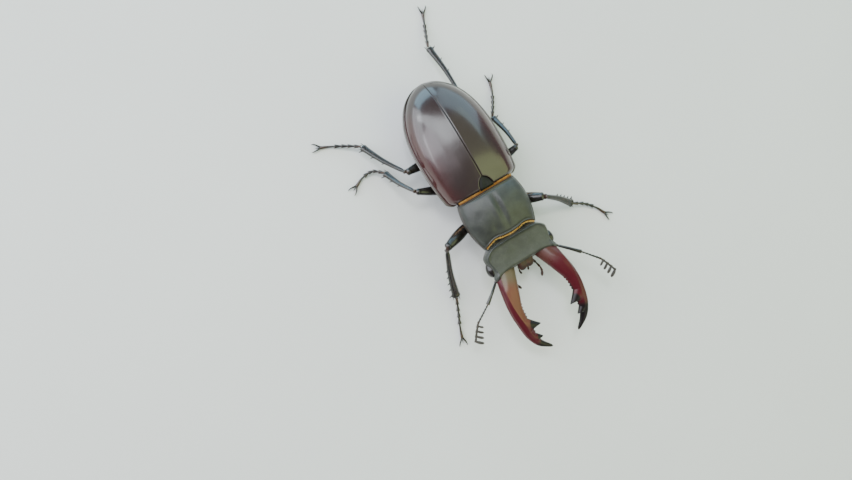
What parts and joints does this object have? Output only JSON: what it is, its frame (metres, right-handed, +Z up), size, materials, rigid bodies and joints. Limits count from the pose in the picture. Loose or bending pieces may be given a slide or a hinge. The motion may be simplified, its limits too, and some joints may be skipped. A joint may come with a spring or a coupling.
{
  "type": "stag beetle model",
  "caption": "Life-size museum-style model of a male stag beetle standing on its legs, jaws open and feelers spread.",
  "frame": {"origin": "on the floor, at the centre of the footprint of the whole animal", "axes": "+Z up, -Y towards the jaws, +X towards the animal's left side"},
  "size_m": [0.0554, 0.0836, 0.0144],
  "materials": {
    "wing_cases": "dark maroon brown, polished",
    "back_plates": "near black, satin, finely pitted",
    "head": "dull black with a grey green cast, finely grained",
    "eyes": "black, polished",
    "jaws": "dark red brown, polished, black at the teeth and tips",
    "mouthparts": "brown, with golden hairs",
    "underside": "black brown, satin, with short golden hairs",
    "feelers": "black brown, polished, with dull club leaves",
    "legs": "black brown, polished"
  },
  "bodies": {
    "root": {"pronotum": "back_plates", "prosternum": "underside", "head": "head", "eye_left": "eyes", "mandible_left": "jaws", "elytron_left": "wing_cases", "eye_right": "eyes", "mandible_right": "jaws", "elytron_right": "wing_cases", "labrum": "mouthparts", "mentum": "underside", "palp_maxillary_left": "mouthparts", "palp_maxillary_right": "mouthparts", "palp_labial_left": "mouthparts", "palp_labial_right": "mouthparts", "scutellum": "back_plates", "thorax": "underside", "abdomen": "underside", "coxa_front_right": "legs", "femur_front_right": "legs", "tibia_front_right": "legs", "tarsus_front_right": "legs", "coxa_front_left": "legs", "femur_front_left": "legs", "tibia_front_left": "legs", "tarsus_front_left": "legs", "coxa_middle_right": "legs", "femur_middle_right": "legs", "tibia_middle_right": "legs", "tarsus_middle_right": "legs", "coxa_middle_left": "legs", "femur_middle_left": "legs", "tibia_middle_left": "legs", "tarsus_middle_left": "legs", "coxa_hind_right": "legs", "femur_hind_right": "legs", "tibia_hind_right": "legs", "tarsus_hind_right": "legs", "coxa_hind_left": "legs", "femur_hind_left": "legs", "tibia_hind_left": "legs", "tarsus_hind_left": "legs", "antenna_scape_left": "feelers", "antenna_stem_left": "feelers", "antenna_club_left": "feelers", "antenna_scape_right": "feelers", "antenna_stem_right": "feelers", "antenna_club_right": "feelers"}
  },
  "joints": []
}
